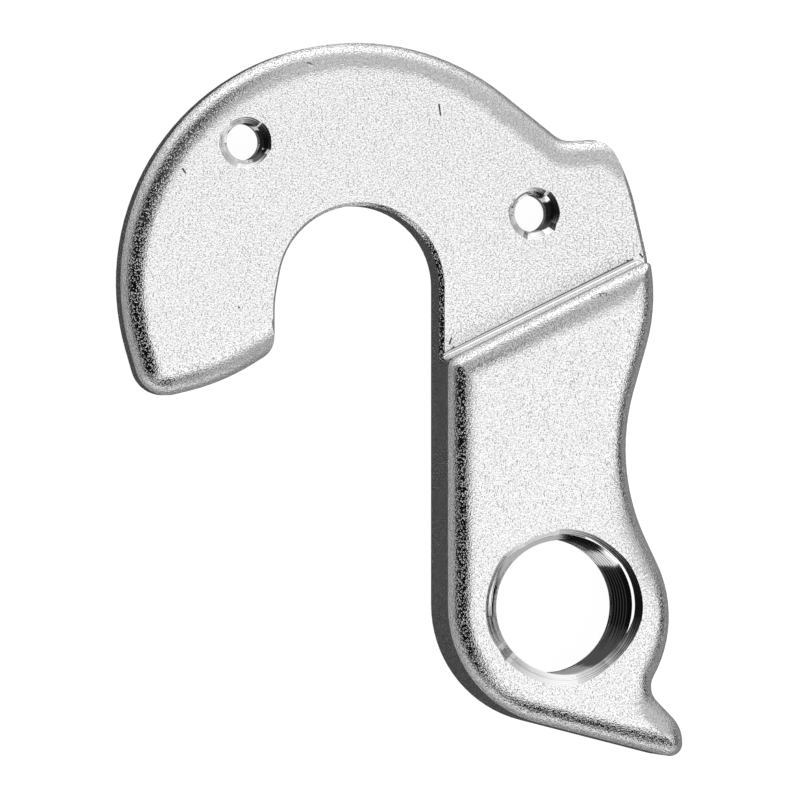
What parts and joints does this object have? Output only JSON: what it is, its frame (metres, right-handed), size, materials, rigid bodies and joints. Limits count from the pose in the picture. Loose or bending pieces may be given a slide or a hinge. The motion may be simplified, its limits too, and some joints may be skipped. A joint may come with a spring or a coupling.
{
  "type": "bicycle derailleur hanger",
  "caption": "Flat aluminium hook with an open axle slot and screw holes, which steps to a thicker leg whose threaded hole carries a rear derailleur.",
  "frame": {"origin": "on the axis of the derailleur thread, in the plane of the hook's front face, on which the dropout seats", "axes": "+X to the rear of the bicycle, +Y up it, +Z inboard, out of the hook's front face; the part lies on its flat back"},
  "size_m": [0.0372, 0.0476, 0.008],
  "materials": {
    "blasted_aluminium": "bead blasted, natural silver"
  },
  "bodies": {
    "root": {"hanger": "blasted_aluminium"}
  },
  "joints": []
}
